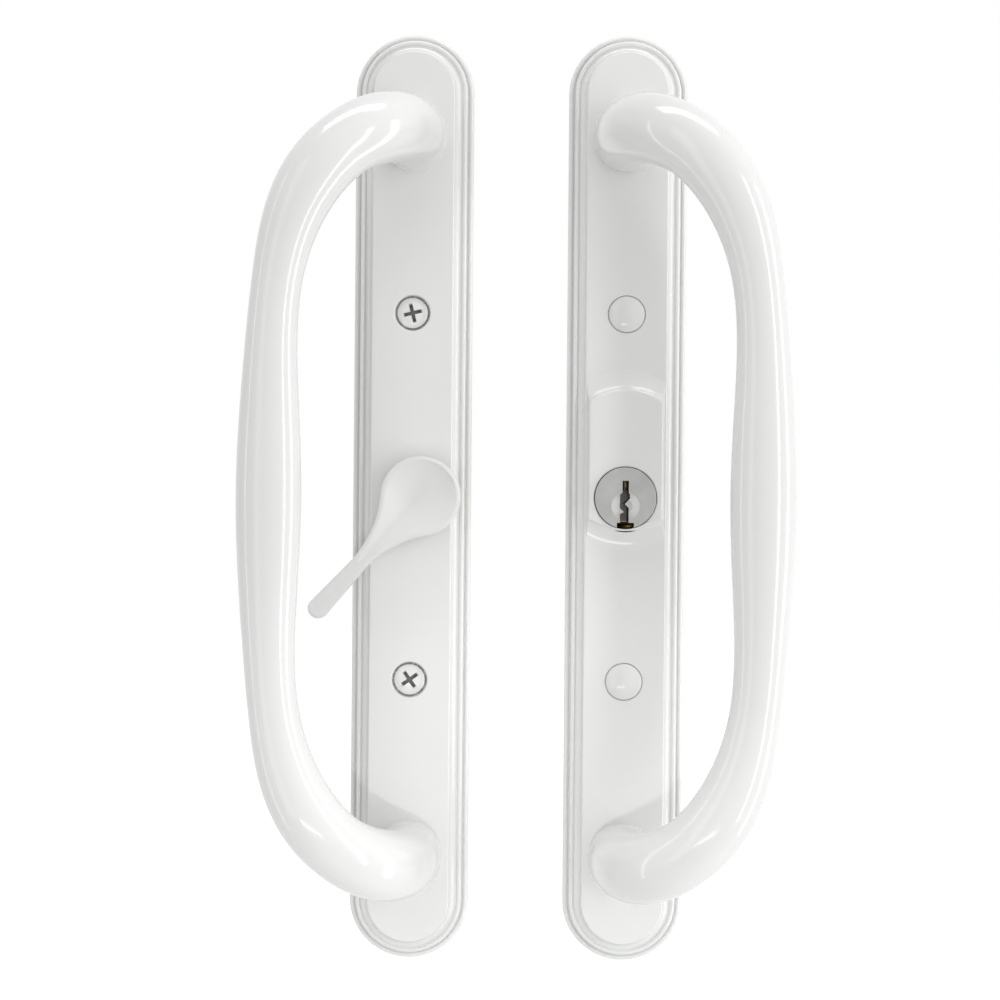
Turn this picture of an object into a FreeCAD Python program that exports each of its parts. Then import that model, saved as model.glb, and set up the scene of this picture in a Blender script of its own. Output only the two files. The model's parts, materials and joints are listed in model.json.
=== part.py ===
import FreeCAD, Part
import math
import os

# Keyed handle of a sliding patio door: the inside half and the outside half, side by side.
# Millimetres. +Z is up, the backs of both plates lie on y = 0 and their fronts face -Y.
# The origin is the middle of the inside plate's back, between its two clamp screws.
# A height is measured from the back plane towards the front, so behind the plate it is negative.

# Plates
plate_length = 253.2
plate_width = 32.4
plate_thickness = 8.0
halves_apart = 58.4
plate_wall = 2.2
face_skin = 2.2
rib_thickness = 1.6
rib_setback = 1.0
rib_pitch = 31.0
core_draft = 1.0
rib_clearance = 1.0
overrun = 1.0

# Moulding that runs round each plate, from its outer edge inwards
edge_wall = 2.4
bead_width = 1.4
bead_height = 3.2
bead_crown = 0.1
groove_width = 0.2
groove_depth = 0.2
ledge_lean = 0.15
ledge_width = 1.3
ledge_height = 5.2
cove_width = 1.8
cove_foot_width = 0.7
cove_foot_rise = 0.6
edge_round = 0.45
rounding = 0.5

# Bow pulls
feet_apart = 196.0
pull_offset = 34.6
pull_standoff = 45.0
plan_side_fullness = 4.4
plan_end_fullness = 1.7
rise_fullness = 2.6
foot_diameter = 18.6
grip_width = 17.0
grip_depth = 13.6
waist_width = 13.1
waist_depth = 11.6
shoulder_width = 17.4
shoulder_depth = 16.4
waist_place = 0.53
shoulder_place = 0.92
section_fullness = 2.2
section_points = 12

# Pull screws, from behind, and the nib that stops each foot turning
pull_screw_radius = 2.4
pull_screw_head_radius = 4.2
pull_screw_head_height = 2.4
pull_screw_reach = 10.0
pull_boss_radius = 7.6
pull_boss_height = 2.8
nib_radius = 1.3
nib_length = 1.5
nib_place = 6.0

# Clamp screws and the posts that they thread into
clamp_apart = 100.0
screw_radius = 2.05
screw_neck_radius = 2.2
screw_neck_end = 1.0
screw_length = 42.0
screw_head_radius = 4.15
screw_head_dome = 0.6
screw_head_bevel = 0.9
screw_head_cone = 2.2
screw_recess_radius = 4.9
screw_recess_depth = 1.0
cross_span = 5.8
cross_width = 1.25
cross_depth = 1.9
slot_width = 0.9
upper_cross_turn = 14.0
lower_cross_turn = 35.0
clamp_boss_radius = 7.0
post_head_radius = 4.85
post_head_edge = 1.0
post_head_dome = 0.9
post_seat_radius = 5.1
post_seat_depth = 0.8
post_radius = 3.9
post_length = 26.0
post_thread_depth = 18.0

# Thumb-turn, with its lever pointing down and to the left at rest
turn_place = 3.0
turn_angle = 48.0
disc_radius = 10.8
lever_length = 43.7
stem_half_width = 2.1
tip_radius = 2.75
taper_end = 25.0
turn_head_thickness = 6.2
turn_neck_radius = 7.2
turn_neck_height = 1.6
turn_edge_bevel = 0.65
scoop_lip = 1.0
scoop_depth = 2.5
scoop_end = 25.3
scoop_point_slope = 0.34
scoop_point_half = 0.08
scoop_fullness = 0.75
shaft_radius = 4.5
shaft_behind = 6.0

# Bushing, washer, clips, tailpieces and their pins
bushing_radius = 6.0
bushing_flange_radius = 7.4
bushing_flange_height = 0.8
turn_boss_radius = 8.6
turn_boss_height = 2.2
washer_radius = 7.4
washer_thickness = 0.4
washer_bow = 0.5
clip_thickness = 0.8
clip_width = 2.2
clip_gap = 5.0
groove_seat = 0.9
bar_width = 6.35
bar_thickness = 1.6
bar_length = 34.0
bar_seat = 4.4
pin_radius = 0.8
pin_wall = 0.3
roll_pin_share = 0.9

# Raised pad over the cylinder, and the slope round it
pad_rise = 3.5
pad_half_width = 10.1
pad_top_side = 26.3
pad_top_apex = 29.5
pad_bottom_side = 5.8
pad_bottom_apex = 8.2
slope_half_width = 10.7
slope_top_side = 32.2
slope_top_apex = 36.1
slope_bottom_side = 12.2
slope_bottom_apex = 15.6
pad_edge_height = 0.5
pad_skin = 2.0
slope_fullness = 2.2

# Lock cylinder, its plug and its pin stacks
plug_head_radius = 8.3
plug_head_proud = 0.6
plug_head_bevel = 0.5
plug_radius = 6.5
plug_behind = 18.0
body_radius = 9.0
body_behind = 12.5
chamber_block_width = 9.0
chamber_block_top = 20.0
cover_width = 5.0
cover_thickness = 0.9
key_dish_radius = 3.8
key_dish_drop = 2.2
key_dish_depth = 0.6
keyway_top = 4.7
keyway_half_width = 0.85
keyway_jog = 0.65
keyway_upper_ward = 1.5
keyway_lower_ward = -2.7
keyway_step = 1.1
key_foot_top = -6.7
key_foot_half_width = 2.3
notch_depth = 4.0
keyway_stop = 1.0
pin_count = 5
pin_pitch = 3.9
first_pin_height = 5.5
tumbler_radius = 1.42
key_pin_lengths = (3.3, 4.1, 2.7, 3.8, 3.1)
driver_length = 5.0
chamber_floor = 1.8
spring_radius = 1.1
spring_wire = 0.32
spring_turns = 3
spring_steps = 7
mount_flange_height = 2.2
mount_flange_thickness = 1.8
mount_flange_half_width = 7.0
mount_ear_radius = 3.5
mount_screw_top = 25.0
mount_screw_bottom = 15.0
mount_screw_radius = 1.4
mount_screw_head_radius = 2.7
mount_screw_head_height = 1.5
mount_screw_reach = 4.6
mount_boss_radius = 3.6

# Clearances
turning_gap = 0.05
head_gap = 0.1
seat_gap = 0.05
screw_gap = 0.35
plug_head_gap = 0.15
body_gap = 0.3
tumbler_gap = 0.08
bar_gap = 0.05
tip_room = 0.4

axis_y = FreeCAD.Vector(0, 1, 0)
axis_z = FreeCAD.Vector(0, 0, 1)
pad_height = plate_thickness + pad_rise
clamp_places = (clamp_apart / 2, -clamp_apart / 2)
foot_places = (feet_apart / 2, -feet_apart / 2)


def at(x, height, z):
    return FreeCAD.Vector(x, -height, z)


def disc(radius, low, high, x=0.0, z=0.0):
    """A cylinder square to the plate, between two heights."""
    return Part.makeCylinder(radius, high - low, at(x, low, z), at(0, 1, 0))


def cone(low_radius, high_radius, low, high, x=0.0, z=0.0):
    """A cone square to the plate, between two heights."""
    return Part.makeCone(low_radius, high_radius, high - low, at(x, low, z), at(0, 1, 0))


def block(x_low, x_high, low, high, z_low, z_high):
    """A box between two heights."""
    return Part.makeBox(x_high - x_low, high - low, z_high - z_low, at(x_low, high, z_low))


def dome(radius, rise, base, x=0.0, z=0.0):
    """A low ball-shaped cap that stands on a height."""
    ball_radius = (radius * radius + rise * rise) / (2 * rise)
    ball = Part.makeSphere(ball_radius, at(x, base + rise - ball_radius, z))
    return ball.common(disc(radius, base, base + rise, x, z))


def long_body(steps):
    """A body with half-round ends: one half section, run along the middle and turned round each end."""
    points = [at(inset - plate_width / 2, height, 0) for inset, height in steps]
    points.append(at(0, steps[-1][1], 0))
    points.append(at(0, steps[0][1], 0))
    section = Part.Face(Part.makePolygon(points + points[:1]))
    reach = (plate_length - plate_width) / 2
    side = section.extrude(axis_z * (2 * reach))
    side.translate(axis_z * -reach)
    body = side.fuse(side.mirror(FreeCAD.Vector(0, 0, 0), FreeCAD.Vector(1, 0, 0)))
    for end in (1, -1):
        centre = axis_z * (reach * end)
        placed = section.translated(centre)
        body = body.fuse(placed.revolve(centre, axis_y * end, 180))
    return body.removeSplitter()


def plate_steps():
    """The moulding: edge bead, groove, ledge, groove, cove and the rounded edge of the face."""
    ledge_foot = bead_width + groove_width
    ledge_top = ledge_foot + ledge_lean
    cove_foot = ledge_top + ledge_width + groove_width
    cove_top = cove_foot + cove_width
    return (
        (0, 0),
        (0, edge_wall),
        (rounding, bead_height - bead_crown),
        (bead_width, bead_height),
        (ledge_foot, bead_height - groove_depth),
        (ledge_top, ledge_height - rounding),
        (ledge_top + rounding, ledge_height),
        (cove_foot - groove_width, ledge_height),
        (cove_foot, ledge_height - groove_depth),
        (cove_foot + cove_foot_width, ledge_height - groove_depth + cove_foot_rise),
        (cove_top, plate_thickness - edge_round),
        (cove_top + edge_round, plate_thickness),
    )


def cavity_steps():
    """The hollow behind, which keeps a wall inside the moulding and a skin under the face."""
    floor = plate_thickness - face_skin
    border = bead_width + ledge_lean + ledge_width + 2 * groove_width
    return (
        (plate_wall, -overrun),
        (plate_wall, edge_wall),
        (border + plate_wall / 2, floor - core_draft),
        (border + plate_wall, floor),
    )


def plate_blank(boss_list):
    """A hollow plate with ribs behind and a list of bosses: place x, place z, radius, end height."""
    cavity = long_body(cavity_steps())
    floor = plate_thickness - face_skin
    half_width = plate_width / 2
    half_rib = rib_thickness / 2
    inner = [block(-half_rib, half_rib, rib_setback, floor, -plate_length / 2, plate_length / 2)]
    rib_count = int(plate_length / 2 / rib_pitch)
    for number in range(-rib_count, rib_count + 1):
        z = number * rib_pitch
        inner.append(block(-half_width, half_width, rib_setback, floor, z - half_rib, z + half_rib))
    return cavity, inner, [disc(radius, end, floor, x, z) for x, z, radius, end in boss_list]


def ribbed_plate(boss_list, clear_list):
    """The moulded plate, cored from behind, with ribs only where nothing is housed between them."""
    cavity, ribs, bosses = plate_blank(boss_list)
    plate = long_body(plate_steps()).cut(cavity)
    ribbing = cavity.common(ribs[0].multiFuse(ribs[1:]))
    for clear in clear_list:
        ribbing = ribbing.cut(clear)
    return plate.multiFuse([ribbing] + bosses).removeSplitter()


def pull_boss_list():
    return [(0, z, pull_boss_radius, pull_boss_height) for z in foot_places]


def cut_pull_seats(plate, side):
    """Screw holes and nib holes for the two feet of a pull."""
    for z in foot_places:
        plate = plate.cut(disc(pull_screw_radius + screw_gap, 0, plate_thickness + overrun, 0, z))
        nib_low = plate_thickness - nib_length - seat_gap
        nib_top = plate_thickness + overrun
        plate = plate.cut(disc(nib_radius + seat_gap, nib_low, nib_top, side * nib_place, z))
    return plate


def make_inside_plate():
    bosses = pull_boss_list()
    bosses += [(0, z, clamp_boss_radius, 0) for z in clamp_places]
    bosses.append((turn_place, 0, turn_boss_radius, turn_boss_height))
    clear = [disc(washer_radius + rib_clearance, 0, turn_boss_height, turn_place, 0)]
    clear += [disc(pull_boss_radius, 0, pull_boss_height, 0, z) for z in foot_places]
    plate = ribbed_plate(bosses, clear)
    plate = plate.cut(disc(bushing_radius + seat_gap, 0, plate_thickness + overrun, turn_place, 0))
    for z in clamp_places:
        floor = plate_thickness - screw_recess_depth
        seat_top = screw_head_radius + seat_gap
        plate = plate.cut(disc(screw_recess_radius, floor, plate_thickness + overrun, 0, z))
        plate = plate.cut(cone(screw_neck_radius + screw_gap, seat_top, floor - screw_head_cone, floor, 0, z))
        plate = plate.cut(disc(screw_neck_radius + screw_gap, -overrun, floor, 0, z))
    return cut_pull_seats(plate, -1)


def pad_outline(half_width, top_side, top_apex, bottom_side, bottom_apex, height):
    """The closed outline of the pad at one height: straight sides, an arch above and a bow below."""
    corners = [
        at(-half_width, height, -bottom_side),
        at(-half_width, height, top_side),
        at(half_width, height, top_side),
        at(half_width, height, -bottom_side),
    ]
    return Part.Wire([
        Part.makeLine(corners[0], corners[1]),
        Part.Arc(corners[1], at(0, height, top_apex), corners[2]).toShape(),
        Part.makeLine(corners[2], corners[3]),
        Part.Arc(corners[3], at(0, height, -bottom_apex), corners[0]).toShape(),
    ])


def make_pad():
    """The raised pad: a hollow slope up from the face of the plate, then a short upright edge."""
    outlines = []
    slope_rise = pad_rise - pad_edge_height
    for share in (0.0, 0.5, 1.0):
        climb = share ** slope_fullness
        sizes = []
        for outer, inner in ((slope_half_width, pad_half_width), (slope_top_side, pad_top_side),
                             (slope_top_apex, pad_top_apex), (slope_bottom_side, pad_bottom_side),
                             (slope_bottom_apex, pad_bottom_apex)):
            sizes.append(outer + (inner - outer) * share)
        outlines.append(pad_outline(*sizes, plate_thickness - seat_gap + slope_rise * climb))
    slope = Part.makeLoft(outlines, True, True)
    low = plate_thickness - face_skin / 2
    top = pad_outline(pad_half_width, pad_top_side, pad_top_apex, pad_bottom_side, pad_bottom_apex, low)
    table = Part.Face(top).extrude(at(0, pad_height - low, 0))
    return slope.fuse(table)


def cylinder_outline(extra, low, high):
    """The cylinder's silhouette, larger all round by a clearance, between two heights."""
    half_block = chamber_block_width / 2 + extra
    barrel = disc(body_radius + extra, low, high)
    return barrel.fuse(block(-half_block, half_block, low, high, 0, chamber_block_top + extra))


def mount_places():
    return (mount_screw_top, -mount_screw_bottom)


def make_outside_plate():
    bosses = pull_boss_list()
    bosses += [(0, z, clamp_boss_radius, 0) for z in clamp_places]
    seat = mount_flange_height + mount_flange_thickness
    bosses += [(0, z, mount_boss_radius, seat) for z in mount_places()]
    housing_floor = pad_height - pad_skin
    beyond = mount_boss_radius + rib_clearance
    flange_room = block(-plate_width / 2, plate_width / 2, 0, seat, -mount_screw_bottom - beyond,
                        mount_screw_top + beyond)
    clear = [flange_room]
    clear += [disc(pull_boss_radius, 0, pull_boss_height, 0, z) for z in foot_places]
    plate = ribbed_plate(bosses, clear).fuse(make_pad())
    plate = plate.cut(cylinder_outline(body_gap, -overrun, housing_floor))
    plate = plate.cut(disc(plug_head_radius + plug_head_gap, 0, pad_height + overrun))
    for z in mount_places():
        hole_top = mount_flange_height + mount_screw_reach + tip_room
        plate = plate.cut(disc(mount_screw_radius + seat_gap, 0, hole_top, 0, z))
    for z in clamp_places:
        seat_floor = plate_thickness - post_seat_depth
        plate = plate.cut(disc(post_seat_radius, seat_floor, plate_thickness + overrun, 0, z))
        plate = plate.cut(disc(post_radius + seat_gap, -overrun, plate_thickness, 0, z))
    plate = cut_pull_seats(plate, 1).removeSplitter()
    plate.translate(FreeCAD.Vector(halves_apart, 0, 0))
    return plate


def eased(low_value, high_value, share):
    """A value that leaves one level and settles on the next without a corner."""
    return low_value + (high_value - low_value) * (1 - math.cos(math.pi * share)) / 2


def bow_size(grip, waist, shoulder, rise):
    """Width or depth of the bow at a share of its half height: full at the grip, slim at the waist."""
    if rise < waist_place:
        return eased(grip, waist, rise / waist_place)
    if rise < shoulder_place:
        return eased(waist, shoulder, (rise - waist_place) / (shoulder_place - waist_place))
    return eased(shoulder, foot_diameter, (rise - shoulder_place) / (1 - shoulder_place))


def bow_stations():
    """Stations from one foot to the other, each as its share outwards and upwards."""
    half = []
    for degrees in (0, 10, 20, 29, 38, 46, 54, 60, 66, 71):
        outwards = 1 - math.cos(math.radians(degrees)) ** (2 / rise_fullness)
        half.append((outwards, (1 - outwards ** plan_end_fullness) ** (1 / plan_side_fullness)))
    for upwards in (0.89, 0.85, 0.8, 0.74, 0.67, 0.59, 0.5, 0.4, 0.3, 0.18, 0.06):
        half.append(((1 - upwards ** plan_side_fullness) ** (1 / plan_end_fullness), upwards))
    return half + [(outwards, -upwards) for outwards, upwards in reversed(half)]


def bow_section(centre, along, across, width, depth):
    """A closed rounded section, slightly squarer than an ellipse."""
    through = along.cross(across)
    points = []
    for number in range(section_points):
        angle = 2 * math.pi * number / section_points
        size = abs(math.cos(angle)) ** section_fullness + abs(math.sin(angle)) ** section_fullness
        reach = size ** (-1 / section_fullness)
        sideways = across * (width / 2 * reach * math.cos(angle))
        points.append(centre + sideways + through * (depth / 2 * reach * math.sin(angle)))
    curve = Part.BSplineCurve()
    curve.interpolate(points, PeriodicFlag=True, Parameters=list(range(section_points + 1)))
    return Part.Wire(curve.toShape())


def make_bow():
    """The inside bow: sections carried along a curve that is full in plan and springs from each foot."""
    stations = bow_stations()
    centres = []
    for outwards, upwards in stations:
        climb = (1 - (1 - outwards) ** rise_fullness) ** (1 / rise_fullness)
        height = plate_thickness + (pull_standoff - plate_thickness) * climb
        centres.append(at(-pull_offset * outwards, height, feet_apart / 2 * upwards))
    spine = Part.BSplineCurve()
    spine.interpolate(centres)
    directions = [spine.tangent(spine.parameter(centre))[0] for centre in centres]
    directions[0] = at(0, 1, 0)
    directions[-1] = at(0, -1, 0)
    sections = []
    for centre, along, (outwards, upwards) in zip(centres, directions, stations):
        rise = abs(upwards)
        across = FreeCAD.Vector(
            -plan_end_fullness * outwards ** (plan_end_fullness - 1) / pull_offset,
            0,
            math.copysign(plan_side_fullness * rise ** (plan_side_fullness - 1), upwards) / (feet_apart / 2),
        )
        across.normalize()
        width = bow_size(grip_width, waist_width, shoulder_width, rise)
        depth = bow_size(grip_depth, waist_depth, shoulder_depth, rise)
        sections.append(bow_section(centre, along, across, width, depth))
    return Part.makeLoft(sections, True, True)


def make_pull(side, place):
    """A bow with a tapped hole and a nib in each foot; the outside one is the inside one's mirror image."""
    pull = make_bow()
    if side > 0:
        pull = pull.mirror(FreeCAD.Vector(0, 0, 0), FreeCAD.Vector(1, 0, 0))
    for z in foot_places:
        nib_low = plate_thickness - nib_length
        pull = pull.fuse(disc(nib_radius, nib_low, plate_thickness + nib_length, side * nib_place, z))
        hole_top = plate_thickness + pull_screw_reach + tip_room
        pull = pull.cut(disc(pull_screw_radius + seat_gap, plate_thickness - overrun, hole_top, 0, z))
    pull.translate(FreeCAD.Vector(place, 0, 0))
    return pull


def driver_cross(top, x, z, turn):
    """The cross recess of a screw: two crossed slots with a deeper core."""
    length = cross_span / 2
    half = cross_width / 2
    slots = block(-length, length, top - cross_depth / 2, top + overrun, -half, half)
    slots = slots.fuse(block(-half, half, top - cross_depth / 2, top + overrun, -length, length))
    slots = slots.fuse(block(-half, half, top - cross_depth, top, -half, half))
    recess = slots.rotated(FreeCAD.Vector(0, 0, 0), axis_y, -turn)
    return recess.translated(FreeCAD.Vector(x, 0, z))


def make_pan_screw(x, z, seat, reach, radius, head_radius, head_height):
    """A screw put in from behind: its slotted head lies behind the seat and its shank goes forwards."""
    screw = disc(radius, seat, seat + reach, x, z)
    screw = screw.fuse(disc(head_radius, seat - head_height, seat, x, z))
    slot_depth = head_height / 2
    low = seat - head_height
    return screw.cut(block(x - head_radius, x + head_radius, low, low + slot_depth,
                           z - slot_width / 2, z + slot_width / 2))


def make_pull_screws(place):
    reach = plate_thickness - pull_boss_height + pull_screw_reach
    screws = []
    for z in foot_places:
        screws.append(make_pan_screw(place, z, pull_boss_height, reach, pull_screw_radius,
                                     pull_screw_head_radius, pull_screw_head_height))
    return Part.makeCompound(screws)


def make_clamp_screws():
    """The long screws: a low domed countersunk head, a plain neck and a threaded shank left plain here."""
    screws = []
    floor = plate_thickness - screw_recess_depth
    for z, turn in zip(clamp_places, (upper_cross_turn, lower_cross_turn)):
        screw = disc(screw_radius, floor - screw_length, -screw_neck_end, 0, z)
        screw = screw.fuse(disc(screw_neck_radius, -screw_neck_end, floor - screw_head_cone, 0, z))
        screw = screw.fuse(cone(screw_neck_radius, screw_head_radius, floor - screw_head_cone, floor, 0, z))
        screw = screw.fuse(cone(screw_head_radius, screw_head_radius - screw_head_bevel, floor,
                                floor + screw_head_dome, 0, z))
        screws.append(screw.cut(driver_cross(floor + screw_head_dome, 0, z, turn)))
    return Part.makeCompound(screws)


def make_posts():
    """The tapped posts that take the clamp screws, with plain domed heads."""
    posts = []
    floor = plate_thickness - post_seat_depth
    for z in clamp_places:
        post = disc(post_head_radius, floor, floor + post_head_edge, halves_apart, z)
        post = post.fuse(dome(post_head_radius, post_head_dome, floor + post_head_edge, halves_apart, z))
        post = post.fuse(disc(post_radius, floor - post_length, floor, halves_apart, z))
        thread = disc(screw_radius + seat_gap, floor - post_length - overrun,
                      floor - post_length + post_thread_depth, halves_apart, z)
        posts.append(post.cut(thread))
    return Part.makeCompound(posts)


def flank_radius():
    """Radius of the hollow flank that leaves the disc and runs into the stem without a corner."""
    gain = disc_radius - stem_half_width
    return (taper_end * taper_end / gain - disc_radius - stem_half_width) / 2


def flank_start():
    """The point where the flank leaves the disc."""
    hollow = flank_radius()
    share = disc_radius / (disc_radius + hollow)
    return FreeCAD.Vector(taper_end * share, (stem_half_width + hollow) * share, 0)


def lever_half_width(along):
    """Half the width of the thumb-turn at a distance along its lever from the pivot."""
    if along < flank_start().x:
        return math.sqrt(max(disc_radius * disc_radius - along * along, 0))
    hollow = flank_radius()
    left = taper_end - along
    return stem_half_width + hollow - math.sqrt(hollow * hollow - left * left)


def lever_outline():
    """The teardrop: a round disc, two hollow flanks, a slim stem and a round tip."""
    start = flank_start()
    middle_place = (start.x + taper_end) / 2
    straight = lever_length - tip_radius
    corners = (start, FreeCAD.Vector(taper_end, stem_half_width, 0), FreeCAD.Vector(straight, tip_radius, 0))
    middle = FreeCAD.Vector(middle_place, lever_half_width(middle_place), 0)
    edges = []
    for side in (1, -1):
        first, second, third = (FreeCAD.Vector(point.x, side * point.y, 0) for point in corners)
        edges.append(Part.Arc(first, FreeCAD.Vector(middle.x, side * middle.y, 0), second).toShape())
        edges.append(Part.makeLine(second, third))
    tip_low = FreeCAD.Vector(straight, -tip_radius, 0)
    edges.append(Part.Arc(corners[2], FreeCAD.Vector(lever_length, 0, 0), tip_low).toShape())
    disc_low = FreeCAD.Vector(start.x, -start.y, 0)
    edges.append(Part.Arc(disc_low, FreeCAD.Vector(-disc_radius, 0, 0), start).toShape())
    return Part.Wire(Part.sortEdges(edges)[0])


def scoop_section(along, top):
    """One section of the hollow thumb face: a lid above the face and a round bottom below it."""
    half = min(lever_half_width(along) - scoop_lip, (scoop_end - along) * scoop_point_slope)
    half = max(half, scoop_point_half)
    depth = scoop_depth * (half / (disc_radius - scoop_lip)) ** scoop_fullness
    left = FreeCAD.Vector(along, -half, top)
    right = FreeCAD.Vector(along, half, top)
    bottom = Part.Arc(right, FreeCAD.Vector(along, 0, top - depth), left).toShape()
    lid_left = FreeCAD.Vector(along, -half, top + overrun)
    lid_right = FreeCAD.Vector(along, half, top + overrun)
    lid = [Part.makeLine(left, lid_left), Part.makeLine(lid_left, lid_right), Part.makeLine(lid_right, right)]
    return Part.Wire([bottom] + lid)


def make_thumb_turn():
    """The thumb-turn: a teardrop head with a hollow face, a neck, and a shaft with a groove and a slot."""
    thickness = turn_head_thickness
    head = Part.Face(lever_outline()).extrude(FreeCAD.Vector(0, 0, thickness))
    rims = [edge for edge in head.Edges if edge.BoundBox.ZLength < 0.01]
    head = head.makeChamfer(turn_edge_bevel, rims)
    scoop_start = scoop_lip - disc_radius
    shares = (0.004, 0.06, 0.17, 0.33, 0.5, 0.66, 0.8, 0.89, 1.0)
    places = [scoop_start + (scoop_end - scoop_start) * share for share in shares]
    head = head.cut(Part.makeLoft([scoop_section(place, thickness) for place in places], True, True))
    head.rotate(FreeCAD.Vector(0, 0, 0), FreeCAD.Vector(1, 0, 0), 90)
    head.rotate(FreeCAD.Vector(0, 0, 0), axis_y, 180 - turn_angle)
    neck_low = plate_thickness + bushing_flange_height + head_gap
    neck_top = neck_low + turn_neck_height
    head.translate(at(turn_place, neck_top, 0))
    turn = head.fuse(disc(turn_neck_radius, neck_low, neck_top + overrun, turn_place, 0))
    turn = turn.fuse(disc(shaft_radius, -shaft_behind, neck_low, turn_place, 0))
    turn = turn.cut(clip_groove(shaft_radius, turn_clip_top(), turn_place))
    turn = turn.cut(bar_slot(-shaft_behind, turn_place, shaft_radius))
    return turn.removeSplitter()


def turn_clip_top():
    return turn_boss_height - washer_thickness - washer_bow - head_gap


def clip_groove(radius, top, x):
    """A groove turned in a shaft for its retaining clip."""
    low = top - clip_thickness - turning_gap
    return disc(radius + overrun, low, top, x, 0).cut(disc(radius - groove_seat, low, top, x, 0))


def make_clip(radius, top, x):
    """A flat spring clip that snaps into the groove, open on one side."""
    inner = radius - groove_seat + turning_gap
    low = top - clip_thickness
    clip = disc(inner + clip_width, low, top - turning_gap, x, 0).cut(disc(inner, low, top, x, 0))
    return clip.cut(block(x - clip_gap / 2, x + clip_gap / 2, low, top, -radius - clip_width, 0))


def bar_slot(end, x, radius):
    """The slot and the cross hole in a shaft's end that take a flat tailpiece and its pin."""
    half = bar_thickness / 2 + bar_gap
    reach = radius + overrun
    slot = block(x - half, x + half, end - overrun, end + bar_seat, -reach, reach)
    hole = Part.makeCylinder(pin_radius + bar_gap, 2 * reach, at(x - reach, end + bar_seat / 2, 0),
                             FreeCAD.Vector(1, 0, 0))
    return slot.fuse(hole)


def make_bar(end, x):
    """A flat tailpiece that carries the turn to the lock inside the door."""
    seat = end + bar_seat - bar_gap
    half_bar = bar_thickness / 2
    bar = block(x - half_bar, x + half_bar, seat - bar_length, seat, -bar_width / 2, bar_width / 2)
    tip_edges = [edge for edge in bar.Edges if abs(edge.CenterOfMass.y - (bar_length - seat)) < 0.01
                 and edge.BoundBox.XLength > bar_thickness / 2]
    bar = bar.makeChamfer(half_bar, tip_edges)
    start = at(x - bar_thickness, end + bar_seat / 2, 0)
    hole = Part.makeCylinder(pin_radius + bar_gap, 2 * bar_thickness, start, FreeCAD.Vector(1, 0, 0))
    return bar.cut(hole)


def make_roll_pin(end, x, radius):
    """A rolled spring pin across a shaft: a split tube."""
    length = 2 * radius * roll_pin_share
    start = at(x - length / 2, end + bar_seat / 2, 0)
    pin = Part.makeCylinder(pin_radius, length, start, FreeCAD.Vector(1, 0, 0))
    pin = pin.cut(Part.makeCylinder(pin_radius - pin_wall, length, start, FreeCAD.Vector(1, 0, 0)))
    height = end + bar_seat / 2
    half_split = pin_wall / 2
    return pin.cut(block(x - length, x + length, height - half_split, height + half_split, 0, 2 * pin_radius))


def make_bushing():
    """The flanged bushing in which the thumb-turn's shaft runs."""
    bushing = disc(bushing_radius, turn_boss_height, plate_thickness, turn_place, 0)
    flange_top = plate_thickness + bushing_flange_height
    bushing = bushing.fuse(disc(bushing_flange_radius, plate_thickness, flange_top, turn_place, 0))
    return bushing.cut(disc(shaft_radius + turning_gap, turn_boss_height, flange_top, turn_place, 0))


def make_washer():
    """A curved spring washer behind the boss: a ring cut from a gently bowed strip."""
    bend_radius = (washer_radius ** 2 + washer_bow ** 2) / (2 * washer_bow)
    crown = turn_boss_height
    reach = washer_radius + overrun
    centre = at(turn_place, crown - bend_radius, -reach)
    shell = Part.makeCylinder(bend_radius, 2 * reach, centre, axis_z)
    shell = shell.cut(Part.makeCylinder(bend_radius - washer_thickness, 2 * reach, centre, axis_z))
    low = crown - 2 * washer_bow - 2 * washer_thickness
    ring = disc(washer_radius, low, crown, turn_place, 0)
    ring = ring.cut(disc(shaft_radius + screw_gap, low, crown, turn_place, 0))
    return shell.common(ring)


def pin_heights():
    return [first_pin_height - number * pin_pitch for number in range(pin_count)]


def chamber(height, low, high):
    """An upright pin chamber across the cylinder."""
    return Part.makeCylinder(tumbler_radius + tumbler_gap, high - low, at(0, height, low), axis_z)


def keyway(low, high):
    """The warded slot for the key: a zigzag between two wards, and a wide foot at the bottom."""
    half = keyway_half_width
    out = half + keyway_jog
    foot = key_foot_half_width
    below = -plug_head_radius - overrun
    outline = (
        (-half, keyway_top),
        (half, keyway_top),
        (half, keyway_upper_ward),
        (half + keyway_jog / 2, keyway_upper_ward - keyway_step / 2),
        (half + keyway_jog / 2, keyway_upper_ward - 1.5 * keyway_step),
        (-half / 4, keyway_lower_ward + keyway_step),
        (half, keyway_lower_ward),
        (half, key_foot_top),
        (foot, key_foot_top),
        (foot, below),
        (-foot, below),
        (-foot, key_foot_top),
        (-out, key_foot_top),
        (-out, keyway_lower_ward - 1.5 * keyway_step),
        (-half / 2, keyway_lower_ward - keyway_step),
        (-out, keyway_lower_ward),
        (-out, keyway_upper_ward - keyway_step / 2),
        (-half, keyway_upper_ward),
    )
    corners = [at(x, low, z) for x, z in outline]
    return Part.Face(Part.makePolygon(corners + corners[:1])).extrude(at(0, high - low, 0))


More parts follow.
